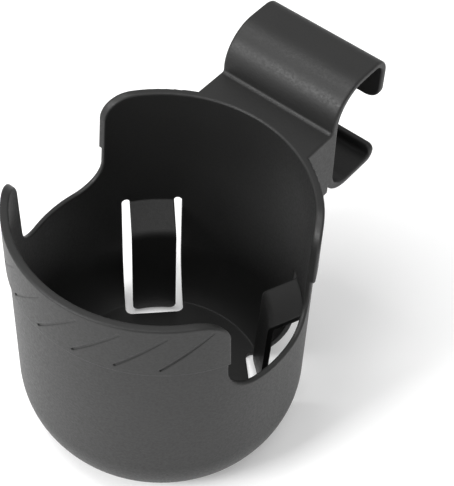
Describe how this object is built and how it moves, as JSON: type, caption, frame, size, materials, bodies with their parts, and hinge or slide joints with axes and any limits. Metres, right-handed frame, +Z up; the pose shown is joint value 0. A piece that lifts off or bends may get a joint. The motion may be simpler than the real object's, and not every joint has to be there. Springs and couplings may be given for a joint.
{
  "type": "bottle holder",
  "caption": "Cup-shaped bottle holder with handle notches, spring tongues in U-shaped slots, a grooved band under the rim and a C-shaped clip behind that hooks onto a rail.",
  "frame": {"origin": "centre of the cup's flat base, on the cup's axis", "axes": "+Z up along the cup's axis, +Y towards the rail clip, +X to the right seen from the front"},
  "size_m": [0.08, 0.1108, 0.094],
  "materials": {
    "body": "fine moulded grain, satin"
  },
  "bodies": {
    "root": {"holder": "body"}
  },
  "joints": []
}
